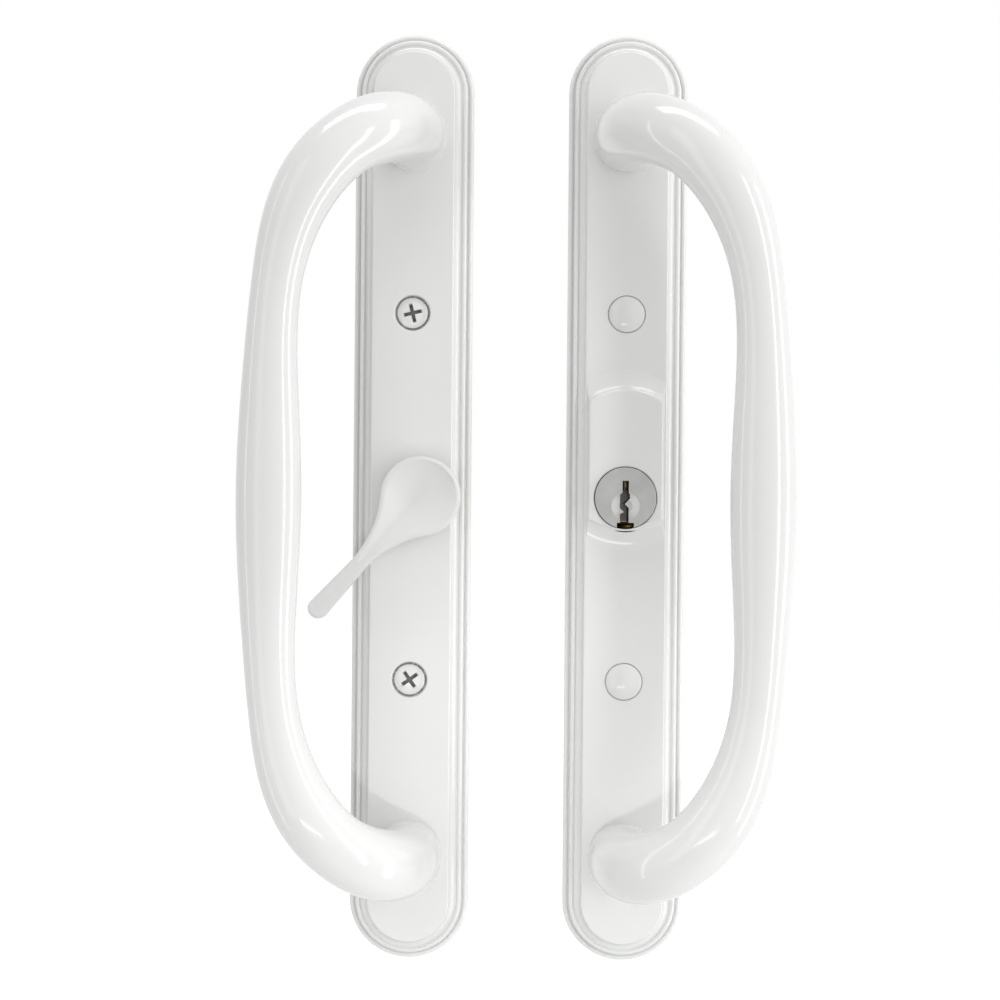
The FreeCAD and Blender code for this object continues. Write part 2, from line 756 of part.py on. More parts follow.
def make_plug():
    """The plug: a wide bevelled head, a barrel with its chambers, and the end that turns the tailpiece."""
    top = pad_height + plug_head_proud
    head_low = pad_height - pad_skin + head_gap
    bevel = plug_head_bevel
    plug = disc(plug_head_radius, head_low, top - bevel)
    plug = plug.fuse(cone(plug_head_radius, plug_head_radius - bevel, top - bevel, top))
    plug = plug.fuse(disc(plug_radius, -plug_behind, head_low))
    plug = plug.cut(cone(key_dish_radius / 2, key_dish_radius, top - key_dish_depth, top, 0, -key_dish_drop))
    plug = plug.cut(keyway(keyway_stop - body_behind, top + overrun))
    for height in pin_heights():
        plug = plug.cut(chamber(height, chamber_floor, plug_radius + overrun))
    plug = plug.cut(clip_groove(plug_radius, plug_clip_top(), 0))
    return plug.cut(bar_slot(-plug_behind, 0, plug_radius))


def plug_clip_top():
    return -body_behind - head_gap


def make_cylinder_body():
    """The cylinder body: a barrel, the block of pin chambers above it, and the flange that holds it."""
    top = pad_height - pad_skin
    body = cylinder_outline(0, -body_behind, top)
    flange_top = mount_flange_height + mount_flange_thickness
    flange = block(-mount_flange_half_width, mount_flange_half_width, mount_flange_height, flange_top,
                   -mount_screw_bottom, mount_screw_top)
    for z in mount_places():
        flange = flange.fuse(disc(mount_ear_radius, mount_flange_height, flange_top, 0, z))
        hole_radius = mount_screw_radius + screw_gap
        flange = flange.cut(disc(hole_radius, mount_flange_height - overrun, flange_top + overrun, 0, z))
    body = body.fuse(flange)
    body = body.cut(disc(plug_radius + turning_gap, -body_behind - overrun, top + overrun))
    for height in pin_heights():
        body = body.cut(chamber(height, 0, chamber_block_top))
    body = body.cut(block(-key_foot_half_width, key_foot_half_width, top - notch_depth, top + overrun,
                          -plug_head_radius - plug_head_gap, key_foot_top))
    groove_low = chamber_block_top - cover_thickness
    half_cover = cover_width / 2 + seat_gap
    return body.cut(block(-half_cover, half_cover, -body_behind - overrun, top + overrun, groove_low,
                          chamber_block_top + overrun))


def make_spring_cover():
    half_cover = cover_width / 2
    return block(-half_cover, half_cover, -body_behind, pad_height - pad_skin - seat_gap,
                 chamber_block_top - cover_thickness, chamber_block_top)


def make_key_pins():
    """The lower pins, each of its own length, with their tops just under the plug's surface."""
    top = math.sqrt((plug_radius - turning_gap) ** 2 - tumbler_radius ** 2)
    pins = []
    for height, length in zip(pin_heights(), key_pin_lengths):
        pins.append(Part.makeCylinder(tumbler_radius, length, at(0, height, top - length), axis_z))
    return Part.makeCompound(pins)


def driver_low():
    return plug_radius + 3 * turning_gap


def make_driver_pins():
    """The upper pins, resting just above the plug."""
    pins = []
    for height in pin_heights():
        pins.append(Part.makeCylinder(tumbler_radius, driver_length, at(0, height, driver_low()), axis_z))
    return Part.makeCompound(pins)


def coil_corners(height, turned, z):
    """The four corners of the spring's square wire at one point of its helix."""
    half = spring_wire / 2
    outward = FreeCAD.Vector(math.cos(turned), math.sin(turned), 0)
    middle = at(0, height, z) + outward * spring_radius
    return [middle + outward * sideways + axis_z * upwards for sideways, upwards in
            ((-half, -half), (half, -half), (half, half), (-half, half))]


def triangle(first, second, third):
    return Part.Face(Part.makePolygon([first, second, third, first]))


def make_springs():
    """A coil spring above each driver pin, up to the cover: a square wire carried round a helix."""
    low = driver_low() + driver_length + spring_wire / 2 + seat_gap
    high = chamber_block_top - cover_thickness - spring_wire / 2 - seat_gap
    step_count = spring_turns * spring_steps
    springs = []
    for height in pin_heights():
        rings = []
        for number in range(step_count + 1):
            z = low + (high - low) * number / step_count
            rings.append(coil_corners(height, 2 * math.pi * number / spring_steps, z))
        faces = []
        for here, after in zip(rings, rings[1:]):
            for side in range(4):
                beside = (side + 1) % 4
                faces.append(triangle(here[side], here[beside], after[beside]))
                faces.append(triangle(here[side], after[beside], after[side]))
        for ring in (rings[0], rings[-1]):
            faces.append(Part.Face(Part.makePolygon(ring + ring[:1])))
        shell = Part.makeShell(faces)
        shell.sewShape()
        spring = Part.makeSolid(shell)
        if spring.Volume < 0:
            spring.reverse()
        springs.append(spring)
    return Part.makeCompound(springs)


def make_mount_screws():
    screws = []
    for z in mount_places():
        screws.append(make_pan_screw(0, z, mount_flange_height, mount_screw_reach, mount_screw_radius,
                                     mount_screw_head_radius, mount_screw_head_height))
    return Part.makeCompound(screws)


def outside(shape):
    """Moves a shape of the lock cylinder to the outside half's place."""
    return shape.translated(FreeCAD.Vector(halves_apart, 0, 0))


nodes = {
    "inside_plate": make_inside_plate(),
    "inside_pull": make_pull(-1, 0),
    "inside_pull_screws": make_pull_screws(0),
    "thumb_turn": make_thumb_turn(),
    "thumb_bushing": make_bushing(),
    "thumb_spring_washer": make_washer(),
    "thumb_clip": make_clip(shaft_radius, turn_clip_top(), turn_place),
    "thumb_tailpiece": make_bar(-shaft_behind, turn_place),
    "thumb_tailpiece_pin": make_roll_pin(-shaft_behind, turn_place, shaft_radius),
    "clamp_screws": make_clamp_screws(),
    "outside_plate": make_outside_plate(),
    "outside_pull": make_pull(1, halves_apart),
    "outside_pull_screws": make_pull_screws(halves_apart),
    "threaded_posts": make_posts(),
    "cylinder_body": outside(make_cylinder_body()),
    "cylinder_plug": outside(make_plug()),
    "key_pins": outside(make_key_pins()),
    "driver_pins": outside(make_driver_pins()),
    "pin_springs": outside(make_springs()),
    "spring_cover": outside(make_spring_cover()),
    "plug_clip": outside(make_clip(plug_radius, plug_clip_top(), 0)),
    "cylinder_tailpiece": outside(make_bar(-plug_behind, 0)),
    "cylinder_tailpiece_pin": outside(make_roll_pin(-plug_behind, 0, plug_radius)),
    "cylinder_mount_screws": outside(make_mount_screws()),
}

os.makedirs("parts", exist_ok=True)
for name, shape in nodes.items():
    shape.exportStep("parts/" + name + ".step")
    print(name, "solids", len(shape.Solids), "valid", shape.isValid(), "volume", round(shape.Volume, 1))
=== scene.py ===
import json
import math

import bmesh
import bpy
from mathutils import Matrix, Vector

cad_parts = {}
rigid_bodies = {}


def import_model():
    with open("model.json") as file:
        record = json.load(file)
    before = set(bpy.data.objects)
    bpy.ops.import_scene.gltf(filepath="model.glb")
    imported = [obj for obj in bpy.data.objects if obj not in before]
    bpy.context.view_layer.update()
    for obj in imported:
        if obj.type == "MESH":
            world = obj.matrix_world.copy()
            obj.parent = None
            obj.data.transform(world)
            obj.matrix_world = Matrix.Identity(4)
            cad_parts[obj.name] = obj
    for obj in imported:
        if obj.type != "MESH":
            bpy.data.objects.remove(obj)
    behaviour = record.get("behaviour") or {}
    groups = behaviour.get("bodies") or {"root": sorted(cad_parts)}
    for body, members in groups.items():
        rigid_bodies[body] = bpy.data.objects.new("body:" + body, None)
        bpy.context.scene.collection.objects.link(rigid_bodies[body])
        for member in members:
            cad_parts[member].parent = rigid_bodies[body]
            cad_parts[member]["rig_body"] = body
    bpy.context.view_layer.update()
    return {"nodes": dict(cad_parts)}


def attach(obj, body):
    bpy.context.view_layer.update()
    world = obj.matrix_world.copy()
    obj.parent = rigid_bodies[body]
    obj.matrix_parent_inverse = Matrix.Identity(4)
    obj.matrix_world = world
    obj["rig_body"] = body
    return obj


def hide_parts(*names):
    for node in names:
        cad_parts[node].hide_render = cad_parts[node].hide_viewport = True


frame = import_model()
print("stage: frame loaded,", len(frame["nodes"]), "solid nodes")

# Meshes are built in millimetres and brought to metres when a piece is finished.
# Both plates face -Y. A height is measured from their backs towards the front.
halvesApart = 58.4
clampPlaces = (50.0, -50.0)
footPlaces = (98.0, -98.0)


def at(x, height, z):
    return Vector((x, -height, z))


def arc(centre, radii, start, end, count):
    # points of an elliptical arc, as pairs
    points = []
    for number in range(count + 1):
        angle = math.radians(start + (end - start) * number / count)
        points.append((centre[0] + radii[0] * math.cos(angle), centre[1] + radii[1] * math.sin(angle)))
    return points


def meshObject(name, bm):
    bmesh.ops.recalc_face_normals(bm, faces=bm.faces)
    mesh = bpy.data.meshes.new(name)
    bm.to_mesh(mesh)
    bm.free()
    piece = bpy.data.objects.new(name, mesh)
    bpy.context.scene.collection.objects.link(piece)
    return piece


def newEdges(made):
    # the edges that an extrusion leaves at its far end
    corners = {item for item in made["geom"] if isinstance(item, bmesh.types.BMVert)}
    return list(corners), [item for item in made["geom"] if isinstance(item, bmesh.types.BMEdge)
                           and item.verts[0] in corners and item.verts[1] in corners]


def addTurned(bm, profile, x=0.0, z=0.0, steps=64):
    # a closed solid of revolution, square to the plate, from pairs of radius and height
    corners = [bm.verts.new(at(radius, height, 0)) for radius, height in profile]
    edges = [bm.edges.new(pair) for pair in zip(corners, corners[1:])]
    before = set(bm.verts) - set(corners)
    bmesh.ops.spin(bm, geom=corners + edges, cent=(0, 0, 0), axis=(0, 1, 0), angle=2 * math.pi,
                   steps=steps, use_merge=True)
    added = [corner for corner in bm.verts if corner not in before]
    bmesh.ops.translate(bm, vec=(x, 0, z), verts=added)
    bmesh.ops.remove_doubles(bm, verts=added, dist=0.0005)


def addBlock(bm, xRange, heights, zRange, taper=1.0):
    # a box between two heights, narrower at the low end where a taper is given
    size = (xRange[1] - xRange[0], heights[1] - heights[0], zRange[1] - zRange[0])
    corners = bmesh.ops.create_cube(bm, size=1.0)["verts"]
    for corner in corners:
        if corner.co.y > 0:
            corner.co.x *= taper
            corner.co.z *= taper
    bmesh.ops.scale(bm, vec=size, verts=corners)
    middle = at(sum(xRange) / 2, sum(heights) / 2, sum(zRange) / 2)
    bmesh.ops.translate(bm, vec=middle, verts=corners)
    return corners


def carve(piece, tool, operation, crossed=False):
    # joins, cuts or trims a mesh by another one, which is used up
    change = piece.modifiers.new("carve", "BOOLEAN")
    change.operation = operation
    change.solver = "EXACT"
    change.use_self = crossed
    change.object = tool
    graph = bpy.context.evaluated_depsgraph_get()
    result = bpy.data.meshes.new_from_object(piece.evaluated_get(graph))
    piece.modifiers.clear()
    bm = bmesh.new()
    bm.from_mesh(result)
    bmesh.ops.remove_doubles(bm, verts=bm.verts, dist=0.0004)
    bm.to_mesh(result)
    bm.free()
    piece.data = result
    toolMesh = tool.data
    bpy.data.objects.remove(tool)
    bpy.data.meshes.remove(toolMesh)


def finishPiece(piece, body, material, nodes, sharp=30.0):
    mesh = piece.data
    bm = bmesh.new()
    bm.from_mesh(mesh)
    bmesh.ops.remove_doubles(bm, verts=bm.verts, dist=0.0004)
    bmesh.ops.scale(bm, vec=(0.001, 0.001, 0.001), verts=bm.verts)
    bm.to_mesh(mesh)
    bm.free()
    mesh.materials.clear()
    mesh.materials.append(material)
    for face in mesh.polygons:
        face.use_smooth = True
    mesh.set_sharp_from_angle(angle=math.radians(sharp))
    weighted = piece.modifiers.new("steadyNormals", "WEIGHTED_NORMAL")
    weighted.keep_sharp = True
    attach(piece, body)
    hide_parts(*nodes)


# ---- materials


def startMaterial(name):
    material = bpy.data.materials.new(name)
    material.use_nodes = True
    tree = material.node_tree
    return material, tree, tree.nodes["Principled BSDF"]


def placed(tree, centre=(0, 0, 0)):
    # object coordinates, centred on a place given in metres
    coordinates = tree.nodes.new("ShaderNodeTexCoord")
    shift = tree.nodes.new("ShaderNodeMapping")
    shift.inputs["Location"].default_value = [-value for value in centre]
    tree.links.new(coordinates.outputs["Object"], shift.inputs["Vector"])
    return shift.outputs["Vector"]


def noise(tree, vector, scale, detail=2.0, rough=0.5):
    texture = tree.nodes.new("ShaderNodeTexNoise")
    texture.inputs["Scale"].default_value = scale
    texture.inputs["Detail"].default_value = detail
    texture.inputs["Roughness"].default_value = rough
    tree.links.new(vector, texture.inputs["Vector"])
    return texture.outputs["Fac"]


def ranged(tree, value, low, high, fromLow=0.3, fromHigh=0.7):
    change = tree.nodes.new("ShaderNodeMapRange")
    change.inputs["From Min"].default_value = fromLow
    change.inputs["From Max"].default_value = fromHigh
    change.inputs["To Min"].default_value = low
    change.inputs["To Max"].default_value = high
    tree.links.new(value, change.inputs["Value"])
    return change.outputs["Result"]


def tinted(tree, value, first, second, fromLow=0.3, fromHigh=0.7):
    ramp = tree.nodes.new("ShaderNodeValToRGB")
    ramp.color_ramp.elements[0].position = fromLow
    ramp.color_ramp.elements[0].color = (*first, 1)
    ramp.color_ramp.elements[1].position = fromHigh
    ramp.color_ramp.elements[1].color = (*second, 1)
    tree.links.new(value, ramp.inputs["Fac"])
    return ramp.outputs["Color"]


def bumped(tree, shader, value, strength, distance):
    bump = tree.nodes.new("ShaderNodeBump")
    bump.inputs["Strength"].default_value = strength
    bump.inputs["Distance"].default_value = distance
    tree.links.new(value, bump.inputs["Height"])
    tree.links.new(bump.outputs["Normal"], shader.inputs["Normal"])


def makeEnamel(name, settings, shadeBelow=None):
    # stoved white enamel on a casting: a faint orange peel and slightly uneven gloss
    material, tree, shader = startMaterial(name)
    vector = placed(tree)
    tone = noise(tree, vector, settings["toneScale"], 3.0)
    tree.links.new(tinted(tree, tone, settings["white"], settings["shade"]), shader.inputs["Base Color"])
    gloss = noise(tree, vector, settings["glossScale"], 2.0)
    tree.links.new(ranged(tree, gloss, *settings["roughness"]), shader.inputs["Roughness"])
    peel = noise(tree, vector, settings["peelScale"], 1.5)
    bumped(tree, shader, peel, settings["peelStrength"], 0.0002)
    shader.inputs["IOR"].default_value = 1.5
    shader.inputs["Coat Weight"].default_value = settings["coat"]
    shader.inputs["Coat Roughness"].default_value = 0.06
    if shadeBelow:
        paintShadeBelow(tree, vector, shader, shadeBelow)
    return material


def product(tree, first, second):
    share = tree.nodes.new("ShaderNodeMath")
    share.operation = "MULTIPLY"
    tree.links.new(first, share.inputs[0])
    tree.links.new(second, share.inputs[1])
    return share.outputs["Value"]


def paintShadeBelow(tree, vector, shader, shadeBelow):
    # painted shade below a height: down the drive recesses, the screws' flanks and the gaps round them; on the screws
    # it also gives the shanks a bare steel tone
    unshaded = shader.inputs["Base Color"].links[0].from_socket
    apart = tree.nodes.new("ShaderNodeSeparateXYZ")
    tree.links.new(vector, apart.inputs["Vector"])
    fold = tree.nodes.new("ShaderNodeMath")
    fold.operation = "PINGPONG"
    fold.inputs[1].default_value = shadeBelow["reach"]
    tree.links.new(apart.outputs["Z"], fold.inputs[0])
    flat = tree.nodes.new("ShaderNodeCombineXYZ")
    tree.links.new(apart.outputs["X"], flat.inputs["X"])
    tree.links.new(fold.outputs["Value"], flat.inputs["Y"])
    away = tree.nodes.new("ShaderNodeVectorMath")
    away.operation = "DISTANCE"
    away.inputs[1].default_value = (0, shadeBelow["reach"], 0)
    tree.links.new(flat.outputs["Vector"], away.inputs[0])
    depth = tree.nodes.new("ShaderNodeMath")
    depth.operation = "ADD"
    patches = noise(tree, vector, shadeBelow["scale"], 3.0)
    tree.links.new(apart.outputs["Y"], depth.inputs[0])
    tree.links.new(ranged(tree, patches, -shadeBelow["waver"], shadeBelow["waver"]), depth.inputs[1])
    share = product(tree, ranged(tree, depth.outputs["Value"], 0.0, 1.0, *shadeBelow["depths"]),
                    ranged(tree, away.outputs["Value"], 1.0, 0.0, *shadeBelow["radii"]))
    if "lowest" in shadeBelow:
        share = product(tree, share, ranged(tree, apart.outputs["Y"], 1.0, 0.0, *shadeBelow["lowest"]))
    blend = tree.nodes.new("ShaderNodeMix")
    blend.data_type = "RGBA"
    tree.links.new(share, blend.inputs["Factor"])
    tree.links.new(unshaded, blend.inputs["A"])
    tree.links.new(tinted(tree, patches, shadeBelow["light"], shadeBelow["dark"]), blend.inputs["B"])
    tree.links.new(blend.outputs["Result"], shader.inputs["Base Color"])


def makeMetal(name, settings, centre=None):
    # plated or bare metal: cloudy tone, and fine marks, in rings where a turning centre is given
    material, tree, shader = startMaterial(name)
    vector = placed(tree, centre or (0, 0, 0))
    shader.inputs["Metallic"].default_value = 1.0
    cloud = noise(tree, vector, settings["cloudScale"], 4.0)
    tone = tinted(tree, cloud, settings["light"], settings["dark"])
    if "paintedShadeAbove" in settings:
        # painted shade: the body's front end under the plug's foot notch is made near black, for the shade in that gap
        apart = tree.nodes.new("ShaderNodeSeparateXYZ")
        tree.links.new(vector, apart.inputs["Vector"])
        blend = tree.nodes.new("ShaderNodeMix")
        blend.data_type = "RGBA"
        tree.links.new(ranged(tree, apart.outputs["Y"], 1.0, 0.0, *settings["paintedShadeAbove"]), blend.inputs["Factor"])
        tree.links.new(tone, blend.inputs["A"])
        blend.inputs["B"].default_value = (0.03, 0.028, 0.024, 1)
        tone = blend.outputs["Result"]
    tree.links.new(tone, shader.inputs["Base Color"])
    if centre:
        apart = tree.nodes.new("ShaderNodeSeparateXYZ")
        tree.links.new(vector, apart.inputs["Vector"])
        flat = tree.nodes.new("ShaderNodeCombineXYZ")
        tree.links.new(apart.outputs["X"], flat.inputs["X"])
        tree.links.new(apart.outputs["Z"], flat.inputs["Y"])
        size = tree.nodes.new("ShaderNodeVectorMath")
        size.operation = "LENGTH"
        tree.links.new(flat.outputs["Vector"], size.inputs[0])
        ringed = tree.nodes.new("ShaderNodeCombineXYZ")
        tree.links.new(size.outputs["Value"], ringed.inputs["X"])
        marks = noise(tree, ringed.outputs["Vector"], settings["markScale"], 3.0, 0.7)
    else:
        stretch = tree.nodes.new("ShaderNodeMapping")
        stretch.inputs["Scale"].default_value = settings["markStretch"]
        tree.links.new(vector, stretch.inputs["Vector"])
        marks = noise(tree, stretch.outputs["Vector"], settings["markScale"], 3.0, 0.6)
    tree.links.new(ranged(tree, marks, *settings["roughness"]), shader.inputs["Roughness"])
    bumped(tree, shader, marks, settings["markStrength"], 0.00005)
    return material


def makeAcetal(name):
    material, tree, shader = startMaterial(name)
    vector = placed(tree)
    grain = noise(tree, vector, 900.0, 2.0)
    tree.links.new(tinted(tree, grain, (0.84, 0.84, 0.82), (0.78, 0.78, 0.76)), shader.inputs["Base Color"])
    tree.links.new(ranged(tree, grain, 0.42, 0.55), shader.inputs["Roughness"])
    bumped(tree, shader, grain, 0.1, 0.0001)
    return material


enamelSettings = {
    "white": (0.800, 0.806, 0.794),
    "shade": (0.785, 0.792, 0.778),
    "toneScale": 30.0,
    "glossScale": 120.0,
    "roughness": (0.13, 0.18),
    "peelScale": 520.0,
    "peelStrength": 0.04,
    "coat": 0.35,
}
# painted shade in the clamp screws' cross recesses and round their heads, and the steel tone of their shanks
screwShadeAndShank = {
    "light": (0.19, 0.19, 0.185),
    "dark": (0.15, 0.15, 0.145),
    "reach": clampPlaces[0] / 1000,
    "radii": (0.00460, 0.00490),
    "depths": (-0.00710, -0.00700),
    "waver": 0.00003,
    "scale": 1500.0,
}
# the plate gets the same painted shade only above a height of about 5 mm, in the counterbore round each screw head
plateRingShade = dict(screwShadeAndShank, lowest=(-0.0055, -0.0050))
satinSettings = dict(enamelSettings, roughness=(0.30, 0.40), peelStrength=0.06, coat=0.0)
metalSettings = {
    "zincSteel": {"light": (0.66, 0.67, 0.68), "dark": (0.52, 0.53, 0.55), "cloudScale": 260.0,
                  "markScale": 420.0, "markStretch": (1.0, 0.15, 1.0), "roughness": (0.26, 0.42),
                  "markStrength": 0.25},
    "satinNickel": {"light": (0.43, 0.43, 0.42), "dark": (0.36, 0.36, 0.35), "cloudScale": 150.0,
                    "markScale": 2600.0, "roughness": (0.30, 0.42), "markStrength": 0.25},
    "springSteel": {"light": (0.44, 0.44, 0.45), "dark": (0.32, 0.32, 0.34), "cloudScale": 300.0,
                    "markScale": 700.0, "markStretch": (1.0, 1.0, 0.2), "roughness": (0.28, 0.45),
                    "markStrength": 0.2},
    "turnedBrass": {"light": (0.70, 0.56, 0.29), "dark": (0.58, 0.44, 0.21), "cloudScale": 200.0,
                    "markScale": 900.0, "markStretch": (1.0, 0.2, 1.0), "roughness": (0.24, 0.38),
                    "markStrength": 0.25},
}
# the cylinder body's front end is painted near black, for the shade in the gap behind the plug's foot notch
metalSettings["cylinderBrass"] = dict(metalSettings["turnedBrass"], paintedShadeAbove=(-0.007, -0.005))
# painted shade: the key pins seen down the keyway get a dark brass tone for the shade inside it
metalSettings["shadedPinBrass"] = {"light": (0.22, 0.18, 0.11), "dark": (0.13, 0.10, 0.06), "cloudScale": 400.0,
                               "markScale": 900.0, "markStretch": (1.0, 1.0, 0.2), "roughness": (0.30, 0.46),
                               "markStrength": 0.2}
enamel = makeEnamel("whiteEnamel", enamelSettings)
satinEnamel = makeEnamel("satinEnamel", satinSettings)
# enamels for the screws and the inside plate, with painted shade in their recesses
screwEnamel = makeEnamel("screwEnamel", enamelSettings, screwShadeAndShank)
plateEnamel = makeEnamel("plateEnamel", enamelSettings, plateRingShade)
zincSteel = makeMetal("zincSteel", metalSettings["zincSteel"])
springSteel = makeMetal("springSteel", metalSettings["springSteel"])
turnedBrass = makeMetal("turnedBrass", metalSettings["turnedBrass"])
cylinderBrass = makeMetal("cylinderBrass", metalSettings["cylinderBrass"])
# dark brass for the key pins, painted shade of the keyway
shadedPinBrass = makeMetal("shadedPinBrass", metalSettings["shadedPinBrass"])
satinNickel = makeMetal("satinNickel", metalSettings["satinNickel"], (halvesApart / 1000, 0, 0))
acetal = makeAcetal("acetal")
print("stage: materials")

# ---- plates

plate = {
    "length": 253.2,
    "width": 32.4,
    "front": 8.0,
    "floor": 5.8,
    "wall": 2.2,
    "endSteps": 44,
    "ribThickness": 1.6,
    "ribSetback": 1.0,
    "ribPitch": 31.0,
    "edgeRound": 0.45,
}


def mouldingProfile():
    # from the hollow behind, round the rim, over bead, groove, ledge, groove and cove to the face
    points = [(5.45, plate["floor"]), (4.35, 4.8), (plate["wall"], 2.4), (plate["wall"], 0.15), (2.05, 0.0)]
    points += [(0.15, 0.0), (0.0, 0.15)]
    points += arc((0.72, 2.38), (0.72, 0.84), 180, 22, 7)
    points += [(1.46, 2.62), (1.56, 2.66), (1.66, 2.8), (1.72, 4.4)]
    points += arc((2.38, 4.55), (0.64, 0.66), 172, 18, 7)
    points += [(3.08, 4.66), (3.17, 4.66)]
    points += arc((3.22, 7.45), (1.83, 2.7), -90, -3, 8)
    points += arc((5.5, 7.55), (plate["edgeRound"], plate["edgeRound"]), 180, 90, 4)
    return points


def stadium(name, profile):
    # a profile carried round the long plate's outline, with both of its end loops filled
    bm = bmesh.new()
    reach = (plate["length"] - plate["width"]) / 2
    corners = [bm.verts.new(at(plate["width"] / 2 - inset, height, -reach)) for inset, height in profile]
    edges = [bm.edges.new(pair) for pair in zip(corners, corners[1:])]
    for end in (1, -1):
        made = bmesh.ops.extrude_edge_only(bm, edges=edges)
        moved, edges = newEdges(made)
        bmesh.ops.translate(bm, vec=(0, 0, 2 * reach * end), verts=moved)
        made = bmesh.ops.spin(bm, geom=moved + edges, cent=(0, 0, reach * end), axis=(0, -1, 0),
                              angle=math.pi, steps=plate["endSteps"])
        edges = [item for item in made["geom_last"] if isinstance(item, bmesh.types.BMEdge)]
    bmesh.ops.remove_doubles(bm, verts=bm.verts, dist=0.001)
    for height in (profile[0][1], profile[-1][1]):
        loop = [edge for edge in bm.edges if edge.is_boundary
                and abs(edge.verts[0].co.y + height) < 0.001 and abs(edge.verts[1].co.y + height) < 0.001]
        bmesh.ops.contextual_create(bm, geom=loop)
    return meshObject(name, bm)


def ribbing(clearances):
    # the ribs behind the face, trimmed to the hollow and cleared round what is housed there
    bm = bmesh.new()
    half = plate["ribThickness"] / 2
    heights = (plate["ribSetback"], plate["floor"] + 0.3)
    addBlock(bm, (-half, half), heights, (-plate["length"] / 2, plate["length"] / 2))
    count = int(plate["length"] / 2 / plate["ribPitch"])
    for number in range(-count, count + 1):
        z = number * plate["ribPitch"]
        addBlock(bm, (-plate["width"] / 2, plate["width"] / 2), heights, (z - half, z + half))
    ribs = meshObject("ribs", bm)
    hollow = [(plate["wall"] - 0.3, -1.0), (plate["wall"] - 0.3, 2.5), (4.2, 4.95), (5.2, plate["floor"] + 0.2)]
    carve(ribs, stadium("hollow", hollow), "INTERSECT", True)
    bm = bmesh.new()
    for clearance in clearances:
        if len(clearance) == 4:
            x, z, radius, top = clearance
            addTurned(bm, [(0, -1), (radius, -1), (radius, top), (0, top)], x, z)
        else:
            addBlock(bm, *clearance)
    carve(ribs, meshObject("clearances", bm), "DIFFERENCE")
    return ribs


def addBosses(piece, bossList):
    bm = bmesh.new()
    for x, z, radius, low in bossList:
        addTurned(bm, [(0, low), (radius - 0.2, low), (radius, low + 0.2), (radius + 0.15, plate["floor"] + 0.3),
                       (0, plate["floor"] + 0.3)], x, z)
    carve(piece, meshObject("bosses", bm), "UNION")


def footBosses():
    return [(0, z, 7.6, 2.8) for z in footPlaces]


def drillFeet(bm):
    for z in footPlaces:
        addTurned(bm, [(0, 0), (2.75, 0), (2.75, 9), (0, 9)], 0, z, 40)


insidePlate = stadium("insidePlate", mouldingProfile())
carve(insidePlate, ribbing([(3.0, 0, 8.4, 2.2)] + [(0, z, 7.6, 2.8) for z in footPlaces]), "UNION")
addBosses(insidePlate, footBosses() + [(0, z, 7.0, 0.0) for z in clampPlaces] + [(3.0, 0, 8.6, 2.2)])
cutter = bmesh.new()
drillFeet(cutter)
for z in clampPlaces:
    lip = arc((5.2, 7.7), (0.3, 0.3), 90, 180, 4)
    addTurned(cutter, [(0, 9), (5.2, 9)] + lip + [(4.9, 7.0), (4.2, 7.0), (2.55, 4.8), (2.55, -1), (0, -1)], 0, z, 72)
addTurned(cutter, [(0, 0), (6.05, 0), (6.05, 9), (0, 9)], 3.0, 0, 72)
carve(insidePlate, meshObject("insideHoles", cutter), "DIFFERENCE")
finishPiece(insidePlate, "fixed_halves", plateEnamel, ["inside_plate"])
print("stage: inside plate")

pad = {
    "top": 11.5,
    "edge": 0.6,
    "halfWidth": (10.63, 10.1),
    "topSide": (32.2, 26.3),
    "topApex": (36.1, 29.5),
    "bottomSide": (12.2, 5.8),
    "bottomApex": (15.6, 8.2),
    "coveSteps": 9,
    "arcSteps": 28,
}


def padOutline(share, inset, height):
    # straight sides, an arch above and a bow below, between the slope's foot and the flat top
    sizes = []
    for name in ("halfWidth", "topSide", "topApex", "bottomSide", "bottomApex"):
        low, high = pad[name]
        sizes.append(low + (high - low) * share - inset)
    halfWidth, topSide, topApex, bottomSide, bottomApex = sizes
    points = []
    for side, apex, direction in ((topSide, topApex, 1), (bottomSide, bottomApex, -1)):
        rise = apex - side
        radius = (halfWidth * halfWidth + rise * rise) / (2 * rise)
        span = math.asin(halfWidth / radius)
        for number in range(pad["arcSteps"] + 1):
            angle = span * (2 * number / pad["arcSteps"] - 1)
            x = direction * radius * math.sin(angle)
            z = direction * (apex - radius * (1 - math.cos(angle)))
            points.append(at(x, height, z))
    return points


def makePad():
    steps = [(0.0, 0.0, 7.6)]
    coveRise = pad["top"] - pad["edge"] - 0.25 - plate["front"]
    for number in range(1, pad["coveSteps"] + 1):
        angle = math.pi / 2 * number / pad["coveSteps"]
        steps.append((math.sin(angle), 0.0, plate["front"] + coveRise * (1 - math.cos(angle))))
    for inset, rise in arc((pad["edge"], 0), (pad["edge"], pad["edge"]), 180, 90, 4):
        steps.append((1.0, inset, pad["top"] - pad["edge"] + rise))
    bm = bmesh.new()
    ring = [bm.verts.new(point) for point in padOutline(*steps[0])]
    edges = [bm.edges.new(pair) for pair in zip(ring, ring[1:] + ring[:1])]
    bmesh.ops.contextual_create(bm, geom=edges)
    order = {corner: number for number, corner in enumerate(ring)}
    for step in steps[1:]:
        before = {tuple(corner.co): number for corner, number in order.items()}
        moved, edges = newEdges(bmesh.ops.extrude_edge_only(bm, edges=edges))
        points = padOutline(*step)
        order = {corner: before[tuple(corner.co)] for corner in moved}
        for corner, number in order.items():
            corner.co = points[number]
    bmesh.ops.contextual_create(bm, geom=edges)
    return meshObject("pad", bm)


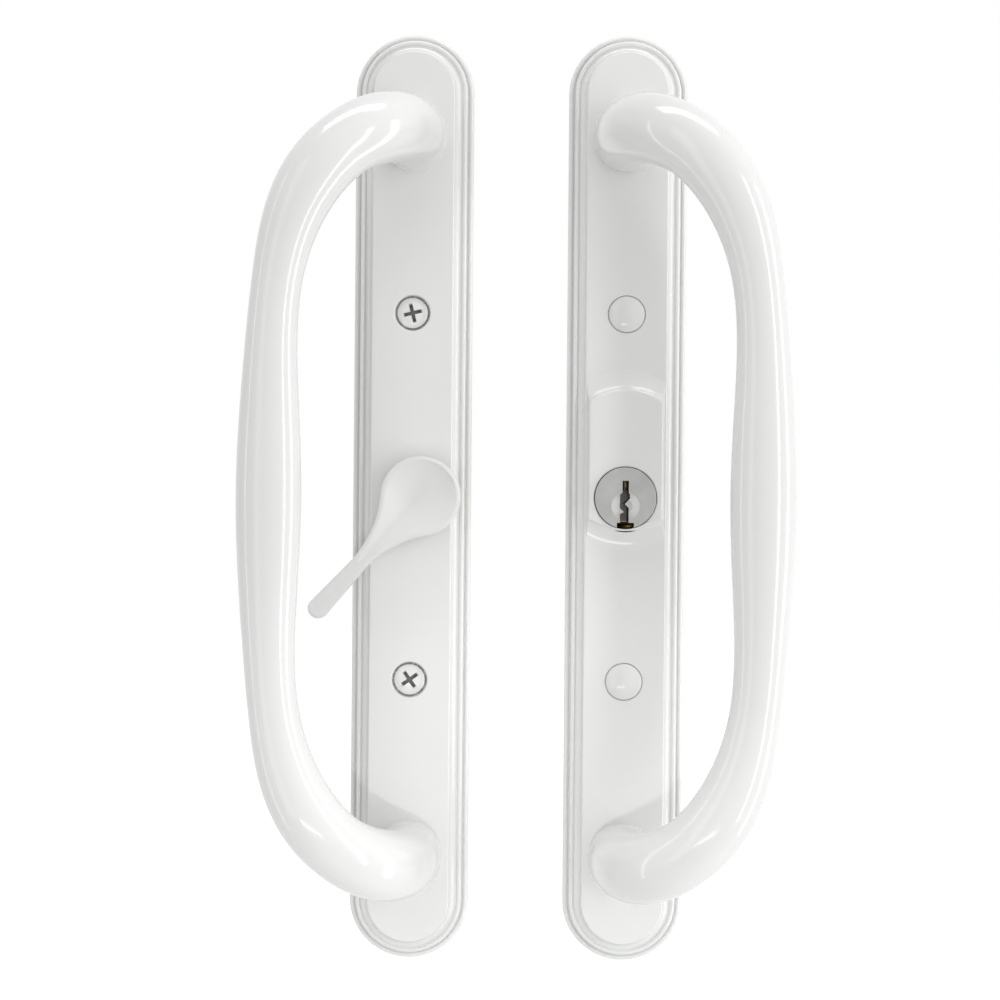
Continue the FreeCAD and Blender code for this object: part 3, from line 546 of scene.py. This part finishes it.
outsidePlate = stadium("outsidePlate", mouldingProfile())
flangeRoom = ((-16.2, 16.2), (-1.0, 4.0), (-19.6, 29.6))
carve(outsidePlate, ribbing([flangeRoom] + [(0, z, 7.6, 2.8) for z in footPlaces]), "UNION")
addBosses(outsidePlate, footBosses() + [(0, z, 7.0, 0.0) for z in clampPlaces]
          + [(0, z, 3.6, 4.0) for z in (25.0, -15.0)])
carve(outsidePlate, makePad(), "UNION")
cutter = bmesh.new()
drillFeet(cutter)
for z in clampPlaces:
    lip = arc((5.35, 7.75), (0.25, 0.25), 90, 180, 3)
    addTurned(cutter, [(0, 9), (5.35, 9)] + lip + [(5.1, 7.2), (3.95, 7.2), (3.95, -1), (0, -1)], 0, z, 72)
for z in (25.0, -15.0):
    addTurned(cutter, [(0, 0), (1.45, 0), (1.45, 7.2), (0, 7.2)], 0, z, 32)
carve(outsidePlate, meshObject("outsideHoles", cutter), "DIFFERENCE")
cutter = bmesh.new()
addTurned(cutter, [(0, -1), (9.3, -1), (9.3, 9.5), (8.45, 9.5), (8.45, 11.1)]
          + arc((8.85, 11.1), (0.4, 0.4), 180, 90, 4) + [(8.85, 13), (0, 13)], 0, 0, 96)
carve(outsidePlate, meshObject("plugHole", cutter), "DIFFERENCE")
cutter = bmesh.new()
addBlock(cutter, (-4.8, 4.8), (-1.0, 9.5), (0.0, 20.3))
carve(outsidePlate, meshObject("chamberRoom", cutter), "DIFFERENCE")
outsidePlate.data.transform(Matrix.Translation((halvesApart, 0, 0)))
finishPiece(outsidePlate, "fixed_halves", enamel, ["outside_plate"])
print("stage: outside plate")

# ---- bow pulls

bow = {
    "reach": 98.0,
    "offset": 34.6,
    "standoff": 45.0,
    "sideFullness": 4.4,
    "endFullness": 1.7,
    "riseFullness": 2.6,
    "sectionFullness": 2.2,
    "grip": (17.0, 13.6),
    "waist": (13.1, 11.6),
    "shoulder": (17.4, 16.4),
    "foot": (18.6, 18.6),
    "waistPlace": 0.53,
    "shoulderPlace": 0.92,
    "stations": 150,
    "ringPoints": 56,
}


def eased(low, high, share):
    return low + (high - low) * (1 - math.cos(math.pi * share)) / 2


def bowSize(rise, way):
    # width (0) or depth (1): full at the grip, slim at the waist, full again at the foot
    if rise < bow["waistPlace"]:
        return eased(bow["grip"][way], bow["waist"][way], rise / bow["waistPlace"])
    if rise < bow["shoulderPlace"]:
        span = bow["shoulderPlace"] - bow["waistPlace"]
        return eased(bow["waist"][way], bow["shoulder"][way], (rise - bow["waistPlace"]) / span)
    return eased(bow["shoulder"][way], bow["foot"][way], (rise - bow["shoulderPlace"]) / (1 - bow["shoulderPlace"]))


def bowShares():
    # shares outwards and upwards along the bow, at even steps of length
    half = []
    for number in range(0, 350):
        outwards = 1 - math.cos(math.radians(number * 0.2)) ** (2 / bow["riseFullness"])
        half.append((outwards, (1 - outwards ** bow["endFullness"]) ** (1 / bow["sideFullness"])))
    last = half[-1][1]
    for number in range(1, 401):
        upwards = last * (1 - number / 400)
        half.append(((1 - upwards ** bow["sideFullness"]) ** (1 / bow["endFullness"]), upwards))
    fine = half + [(outwards, -upwards) for outwards, upwards in reversed(half[:-1])]
    lengths = [0.0]
    for first, second in zip(fine, fine[1:]):
        lengths.append(lengths[-1] + (bowPoint(1, second) - bowPoint(1, first)).length)
    chosen = []
    place = 0
    for number in range(bow["stations"] + 1):
        wanted = lengths[-1] * number / bow["stations"]
        while lengths[place + 1] < wanted - 1e-9:
            place += 1
        part = (wanted - lengths[place]) / (lengths[place + 1] - lengths[place])
        chosen.append([a + (b - a) * part for a, b in zip(fine[place], fine[place + 1])])
    return chosen


def bowPoint(side, shares):
    outwards, upwards = shares
    climb = (1 - (1 - outwards) ** bow["riseFullness"]) ** (1 / bow["riseFullness"])
    height = plate["front"] + (bow["standoff"] - plate["front"]) * climb
    return at(side * bow["offset"] * outwards, height, bow["reach"] * upwards)


def bowPlace(side, shares, along):
    # the frame of one section, with its half width and half depth in its columns
    outwards, upwards = shares
    sideways = bow["endFullness"] * outwards ** (bow["endFullness"] - 1) / bow["offset"]
    lengthways = bow["sideFullness"] * abs(upwards) ** (bow["sideFullness"] - 1) / bow["reach"]
    across = Vector((side * sideways, 0, math.copysign(lengthways, upwards))).normalized()
    through = along.cross(across).normalized()
    width, depth = bowSize(abs(upwards), 0), bowSize(abs(upwards), 1)
    columns = Matrix((across * width / 2, through * depth / 2, along)).transposed().to_4x4()
    return Matrix.Translation(bowPoint(side, shares)) @ columns


def makePull(name, side, place, node):
    shares = bowShares()
    points = [bowPoint(side, share) for share in shares]
    places = []
    for number, share in enumerate(shares):
        before, after = points[max(number - 1, 0)], points[min(number + 1, len(points) - 1)]
        along = (after - before).normalized()
        if number == 0:
            along = Vector((0, -1, 0))
        if number == len(shares) - 1:
            along = Vector((0, 1, 0))
        places.append(bowPlace(side, share, along))
    bm = bmesh.new()
    ring = bmesh.ops.create_circle(bm, segments=bow["ringPoints"], radius=1.0)["verts"]
    for corner in ring:
        size = abs(corner.co.x) ** bow["sectionFullness"] + abs(corner.co.y) ** bow["sectionFullness"]
        corner.co *= size ** (-1 / bow["sectionFullness"])
    edges = list(bm.edges)
    bmesh.ops.transform(bm, matrix=places[0], verts=ring)
    bmesh.ops.contextual_create(bm, geom=edges)
    for here, after in zip(places, places[1:]):
        moved, edges = newEdges(bmesh.ops.extrude_edge_only(bm, edges=edges))
        bmesh.ops.transform(bm, matrix=after @ here.inverted(), verts=moved)
    bmesh.ops.contextual_create(bm, geom=edges)
    bmesh.ops.translate(bm, vec=(place, 0, 0), verts=bm.verts)
    finishPiece(meshObject(name, bm), "fixed_halves", enamel, [node])


makePull("insidePull", -1, 0.0, "inside_pull")
makePull("outsidePull", 1, halvesApart, "outside_pull")
print("stage: bow pulls")

# ---- thumb-turn

turn = {
    "pivot": 3.0,
    "angle": 48.0,
    "discRadius": 10.8,
    "length": 43.7,
    "stemHalf": 2.1,
    "tipRadius": 2.75,
    "taperEnd": 25.0,
    "thickness": 6.2,
    "base": 10.5,
    "edgeRound": 0.8,
    "lip": 0.95,
    "scoopDepth": 2.9,
    "slopeFullness": 1.3,
    "scoopEnd": 25.4,
    "scoopClose": 4.0,
}


def flankRadius():
    gain = turn["discRadius"] - turn["stemHalf"]
    return (turn["taperEnd"] ** 2 / gain - turn["discRadius"] - turn["stemHalf"]) / 2


def leverHalf(along, inset):
    # half the lever's width at a distance from the pivot, less an inset all round
    hollow = flankRadius()
    start = turn["taperEnd"] * (turn["discRadius"] - inset) / (turn["discRadius"] + hollow)
    if along < start:
        return math.sqrt(max((turn["discRadius"] - inset) ** 2 - along ** 2, 0))
    left = turn["taperEnd"] - along
    return turn["stemHalf"] + hollow - math.sqrt((hollow + inset) ** 2 - left ** 2)


def leverOutline(inset):
    # disc, hollow flank, stem and tip on one side, then mirrored
    hollow = flankRadius()
    lean = math.degrees(math.atan2(turn["stemHalf"] + hollow, turn["taperEnd"]))
    radius = turn["discRadius"] - inset
    points = arc((0, 0), (radius, radius), 180, lean, 34)
    flank = hollow + inset
    points += arc((turn["taperEnd"], turn["stemHalf"] + hollow), (flank, flank), 180 + lean, 270, 18)[1:]
    tip = turn["tipRadius"] - inset
    tipCentre = turn["length"] - turn["tipRadius"]
    for share in (0.25, 0.5, 0.75):
        along = turn["taperEnd"] + (tipCentre - turn["taperEnd"]) * share
        points.append((along, turn["stemHalf"] - inset + (turn["tipRadius"] - turn["stemHalf"]) * share))
    points += arc((tipCentre, 0), (tip, tip), 90, 0, 9)
    return points + [(along, -across) for along, across in reversed(points[1:-1])]


def leverHead():
    round_ = turn["edgeRound"]
    steps = [(round_ - x, height) for x, height in arc((0, round_), (round_, round_), -90, 0, 4)]
    steps += [(round_ - x, height) for x, height in arc((0, turn["thickness"] - round_), (round_, round_), 0, 90, 5)]
    bm = bmesh.new()
    outline = leverOutline(steps[0][0])
    ring = [bm.verts.new((along, across, steps[0][1])) for along, across in outline]
    edges = [bm.edges.new(pair) for pair in zip(ring, ring[1:] + ring[:1])]
    bmesh.ops.contextual_create(bm, geom=edges)
    order = {corner: number for number, corner in enumerate(ring)}
    for inset, height in steps[1:]:
        before = {tuple(corner.co): number for corner, number in order.items()}
        moved, edges = newEdges(bmesh.ops.extrude_edge_only(bm, edges=edges))
        outline = leverOutline(inset)
        order = {corner: before[tuple(corner.co)] for corner in moved}
        for corner, number in order.items():
            corner.co = (*outline[number], height)
    bmesh.ops.contextual_create(bm, geom=edges)
    return meshObject("thumbTurn", bm)


def scoopRing(along):
    closing = min(1.0, max(turn["scoopEnd"] - along, 0.0) / turn["scoopClose"]) ** 0.75
    half = max(leverHalf(along, turn["lip"]) * closing, 0.03)
    full = turn["discRadius"] - turn["lip"]
    depth = turn["scoopDepth"] * (half / full) ** 0.8
    points = []
    for number in range(33):
        share = number / 16 - 1
        fall = depth * (1 - abs(share) ** turn["slopeFullness"])
        points.append((along, half * share, turn["thickness"] - fall))
    return points + [(along, half, turn["thickness"] + 1.5), (along, -half, turn["thickness"] + 1.5)]


def scoopCutter():
    bm = bmesh.new()
    start = turn["lip"] - turn["discRadius"]
    stations = [start + (turn["scoopEnd"] - start) * (1 - math.cos(math.pi * number / 48)) / 2 for number in range(49)]
    stations[0] += 0.002
    ring = [bm.verts.new(point) for point in scoopRing(stations[0])]
    edges = [bm.edges.new(pair) for pair in zip(ring, ring[1:] + ring[:1])]
    bmesh.ops.contextual_create(bm, geom=edges)
    order = {corner: number for number, corner in enumerate(ring)}
    for station in stations[1:]:
        before = {tuple(corner.co): number for corner, number in order.items()}
        moved, edges = newEdges(bmesh.ops.extrude_edge_only(bm, edges=edges))
        points = scoopRing(station)
        order = {corner: before[tuple(corner.co)] for corner in moved}
        for corner, number in order.items():
            corner.co = points[number]
    bmesh.ops.contextual_create(bm, geom=edges)
    return meshObject("scoop", bm)


def addShaftEnd(bm, end, x, radius):
    # the slot for a tailpiece
    addBlock(bm, (x - 0.85, x + 0.85), (end - 1, end + 4.4), (-radius - 1, radius + 1))


thumbTurn = leverHead()
carve(thumbTurn, scoopCutter(), "DIFFERENCE")
facing = Matrix.Rotation(math.radians(180 - turn["angle"]), 4, "Y") @ Matrix.Rotation(math.radians(90), 4, "X")
thumbTurn.data.transform(Matrix.Translation(at(turn["pivot"], turn["base"], 0)) @ facing)
shaft = bmesh.new()
addTurned(shaft, [(0, -6.0), (4.2, -6.0), (4.5, -5.7), (4.5, 0.35), (3.6, 0.35), (3.6, 1.2), (4.5, 1.2), (4.5, 8.9),
                  (7.2, 8.9), (7.2, 10.9), (0, 10.9)], turn["pivot"], 0, 72)
carve(thumbTurn, meshObject("shaft", shaft), "UNION")
slot = bmesh.new()
addShaftEnd(slot, -6.0, turn["pivot"], 4.5)
carve(thumbTurn, meshObject("slot", slot), "DIFFERENCE")
finishPiece(thumbTurn, "thumb_lever", satinEnamel, ["thumb_turn"], 34.0)
print("stage: thumb-turn")

# ---- screws, posts and the plug

screw = {
    "radius": 2.05,
    "neckRadius": 2.2,
    "end": -35.0,
    "headRadius": 4.15,
    "seat": 7.0,
    "dome": 0.75,
    "crossSpan": 6.9,
    "crossWidth": 1.2,
    "crossDepth": 1.9,
    "turns": (14.0, 35.0),
}


def domed(radius, rise, base, count):
    # the outline of a low round cap, from its rim to its middle
    ball = (radius * radius + rise * rise) / (2 * rise)
    span = math.degrees(math.asin(radius / ball))
    return arc((0, base + rise - ball), (ball, ball), 90 - span, 90, count)


clampScrews = bmesh.new()
for z in clampPlaces:
    profile = [(0, screw["end"]), (1.6, screw["end"]), (screw["radius"], screw["end"] + 0.6),
               (screw["radius"], -1.1), (screw["neckRadius"], -0.95), (screw["neckRadius"], 4.8),
               (screw["headRadius"], 6.95), (screw["headRadius"], 7.05)]
    addTurned(clampScrews, profile + domed(4.05, screw["dome"], 7.1, 8), 0, z, 64)
clampScrews = meshObject("clampScrews", clampScrews)
cross = bmesh.new()
for z, angle in zip(clampPlaces, screw["turns"]):
    top = screw["seat"] + screw["dome"] + 0.3
    heights = (top - screw["crossDepth"], top)
    arms = []
    for turned in (0, 90):
        arm = addBlock(cross, (-screw["crossSpan"] / 2, screw["crossSpan"] / 2), heights,
                       (-screw["crossWidth"] / 2, screw["crossWidth"] / 2), 0.45)
        bmesh.ops.rotate(cross, cent=(0, 0, 0), matrix=Matrix.Rotation(math.radians(turned), 3, "Y"), verts=arm)
        arms += arm
    bmesh.ops.rotate(cross, cent=(0, 0, 0), matrix=Matrix.Rotation(math.radians(-angle), 3, "Y"), verts=arms)
    bmesh.ops.translate(cross, vec=(0, 0, z), verts=arms)
carve(clampScrews, meshObject("cross", cross), "DIFFERENCE", True)
finishPiece(clampScrews, "fixed_halves", screwEnamel, ["clamp_screws"])

posts = bmesh.new()
for z in clampPlaces:
    profile = [(0, -0.8), (2.1, -0.8), (2.1, -18.8), (3.7, -18.8), (3.9, -18.6), (3.9, 7.2), (4.85, 7.2), (4.85, 7.9)]
    addTurned(posts, profile + domed(4.75, 1.05, 8.05, 9), halvesApart, z, 72)
finishPiece(meshObject("threadedPosts", posts), "fixed_halves", enamel, ["threaded_posts"])

keyway = [(-0.85, 4.7), (0.85, 4.7), (0.85, 1.5), (1.175, 0.95), (1.175, -0.15), (-0.21, -1.6), (0.85, -2.7),
          (0.85, -6.7), (2.3, -6.7), (2.3, -9.3), (-2.3, -9.3), (-2.3, -6.7), (-1.5, -6.7), (-1.5, -4.35),
          (-0.43, -3.8), (-1.5, -2.7), (-1.5, 0.95), (-0.85, 1.5)]
plug = bmesh.new()
addTurned(plug, [(0, -18.0), (6.2, -18.0), (6.5, -17.7), (6.5, -13.45), (5.6, -13.45), (5.6, -12.6), (6.5, -12.6),
                 (6.5, 9.6), (8.3, 9.6)] + arc((8.15, 11.95), (0.15, 0.15), 0, 90, 6) + [(0, 12.1)], 0, 0, 96)
plug = meshObject("cylinderPlug", plug)
cutter = bmesh.new()
corners = [cutter.verts.new(at(x, -11.5, z)) for x, z in keyway]
face = bmesh.ops.contextual_create(cutter, geom=[cutter.edges.new(pair) for pair
                                                 in zip(corners, corners[1:] + corners[:1])])["faces"]
made = bmesh.ops.extrude_face_region(cutter, geom=face)
bmesh.ops.translate(cutter, vec=(0, -25, 0), verts=[item for item in made["geom"] if isinstance(item, bmesh.types.BMVert)])
carve(plug, meshObject("keyway", cutter), "DIFFERENCE")
cutter = bmesh.new()
addTurned(cutter, [(0, 11.5), (1.9, 11.5), (3.8, 12.1), (3.8, 12.6), (0, 12.6)], 0, -2.2, 64)
carve(plug, meshObject("dish", cutter), "DIFFERENCE")
cutter = bmesh.new()
addShaftEnd(cutter, -18.0, 0, 6.5)
carve(plug, meshObject("plugSlot", cutter), "DIFFERENCE")
plug.data.transform(Matrix.Translation((halvesApart, 0, 0)))
finishPiece(plug, "key_plug", satinNickel, ["cylinder_plug"], 14.0)
print("stage: screws, posts and plug")

# ---- the solids that stay, and smooth copies of the round ones

finishes = {
    "inside_pull_screws": ("zinc_steel", zincSteel, True),
    "thumb_bushing": ("acetal", acetal, True),
    "thumb_spring_washer": ("spring_steel", springSteel, True),
    "thumb_clip": ("spring_steel", springSteel, True),
    "thumb_tailpiece": ("zinc_steel", zincSteel, False),
    "thumb_tailpiece_pin": ("spring_steel", springSteel, True),
    "outside_pull_screws": ("zinc_steel", zincSteel, True),
    "cylinder_body": ("brass", cylinderBrass, True),
    "key_pins": ("brass", shadedPinBrass, False),
    "driver_pins": ("satin_nickel", satinNickel, False),
    "pin_springs": ("spring_steel", springSteel, False),
    "spring_cover": ("brass", turnedBrass, False),
    "plug_clip": ("spring_steel", springSteel, True),
    "cylinder_tailpiece": ("zinc_steel", zincSteel, False),
    "cylinder_tailpiece_pin": ("spring_steel", springSteel, True),
    "cylinder_mount_screws": ("zinc_steel", zincSteel, True),
}
for name, (slotName, material, smooth) in finishes.items():
    solid = frame["nodes"][name]
    if not smooth:
        for holder in solid.material_slots:
            holder.material = material
        continue
    words = name.split("_")
    copy = bpy.data.objects.new(words[0] + "".join(word.capitalize() for word in words[1:]), solid.data.copy())
    bpy.context.scene.collection.objects.link(copy)
    copy.data.transform(Matrix.Scale(1000, 4))
    finishPiece(copy, solid["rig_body"], material, [name])
print("stage: finishes")

# ---- floor, light and camera

studio = {
    "floorDrop": -1.1,
    "ambient": 0.525,
    "panels": {
        "rightPanel": {"place": (1.1, -0.27, -0.10), "size": (0.2, 1.5), "power": 5.6},
        "leftPanel": {"place": (-0.5, -0.95, 0.1), "size": (0.3, 1.2), "power": 1.0},
        "rightStrip": {"place": (0.64, -0.72, 0.0), "size": (0.10, 1.0), "power": 1.8},
        "lowPanel": {"place": (-0.03, -0.72, -0.29), "size": (0.28, 0.05), "power": 0.25},
        "leftStrip": {"place": (-1.0, -0.42, -0.05), "size": (0.05, 1.6), "power": 1.2},
        "topPanel": {"place": (0.05, -0.24, 1.0), "size": (1.0, 0.3), "power": 4.0},
    },
    "key": {"place": (0.022, -0.75, -0.19), "aim": (0.024, 0.0, -0.085), "cone": 16.0, "radius": 0.02, "power": 3.4},
}


def whiteToCamera(tree, lit, strength):
    # what the camera and reflections see of the surroundings, apart from what they light
    path = tree.nodes.new("ShaderNodeLightPath")
    seen = tree.nodes.new("ShaderNodeMath")
    seen.operation = "MAXIMUM"
    tree.links.new(path.outputs["Is Camera Ray"], seen.inputs[0])
    tree.links.new(path.outputs["Is Glossy Ray"], seen.inputs[1])
    through = tree.nodes.new("ShaderNodeMath")
    through.operation = "MAXIMUM"
    tree.links.new(seen.outputs["Value"], through.inputs[0])
    tree.links.new(path.outputs["Is Transmission Ray"], through.inputs[1])
    level = tree.nodes.new("ShaderNodeMapRange")
    level.inputs["To Min"].default_value = lit
    level.inputs["To Max"].default_value = strength
    tree.links.new(through.outputs["Value"], level.inputs["Value"])
    return level.outputs["Result"]


world = bpy.data.worlds.new("studio")
bpy.context.scene.world = world
world.use_nodes = True
backdrop = world.node_tree.nodes["Background"]
backdrop.inputs["Color"].default_value = (1, 1, 1, 1)
world.node_tree.links.new(whiteToCamera(world.node_tree, studio["ambient"], 1.0), backdrop.inputs["Strength"])

bm = bmesh.new()
bmesh.ops.create_grid(bm, x_segments=2, y_segments=2, size=20.0)
bmesh.ops.translate(bm, vec=(0, 0, studio["floorDrop"]), verts=bm.verts)
floor = meshObject("floor", bm)
floorMaterial, floorTree, floorShader = startMaterial("floorWhite")
floorShader.inputs["Base Color"].default_value = (0.86, 0.86, 0.86, 1)
floorShader.inputs["Roughness"].default_value = 0.9
floorShader.inputs["Emission Color"].default_value = (1, 1, 1, 1)
floorTree.links.new(whiteToCamera(floorTree, 0.0, 0.6), floorShader.inputs["Emission Strength"])
floor.data.materials.append(floorMaterial)


def aimLamp(light, place, target):
    holder = bpy.data.objects.new(light.name, light)
    bpy.context.scene.collection.objects.link(holder)
    holder.location = place
    holder.rotation_euler = (Vector(target) - Vector(place)).to_track_quat("-Z", "Y").to_euler()
    return holder


for name, panel in studio["panels"].items():
    light = bpy.data.lights.new(name, "AREA")
    light.shape = "RECTANGLE"
    light.size, light.size_y = panel["size"]
    light.energy = panel["power"]
    aimLamp(light, panel["place"], (0.03, 0, 0))
key = studio["key"]
light = bpy.data.lights.new("key", "SPOT")
light.energy = key["power"]
light.spot_size = math.radians(key["cone"])
light.spot_blend = 1.0
light.shadow_soft_size = key["radius"]
# the low lamp casts the pulls' shadows on the plates but isn't mirrored in them
aimLamp(light, key["place"], key["aim"]).visible_glossy = False

view = {
    "place": Vector((0.042, -0.700, 0.0)),
    "target": Vector((0.0241, 0.0, 0.0)),
    "lens": 91.48,
    "roll": 0.5,
    "shiftY": 0.0030,
}
camera = bpy.data.objects.new("camera", bpy.data.cameras.new("camera"))
bpy.context.scene.collection.objects.link(camera)
camera.data.lens = view["lens"]
camera.data.sensor_width = 36.0
camera.data.shift_y = -view["shiftY"]
camera.data.clip_start = 0.01
looking = (view["target"] - view["place"]).to_track_quat("-Z", "Y").to_matrix().to_4x4()
camera.matrix_world = Matrix.Translation(view["place"]) @ looking @ Matrix.Rotation(math.radians(view["roll"]), 4, "Z")
bpy.context.scene.camera = camera
bpy.context.scene.view_settings.view_transform = "Standard"
print("stage: studio")
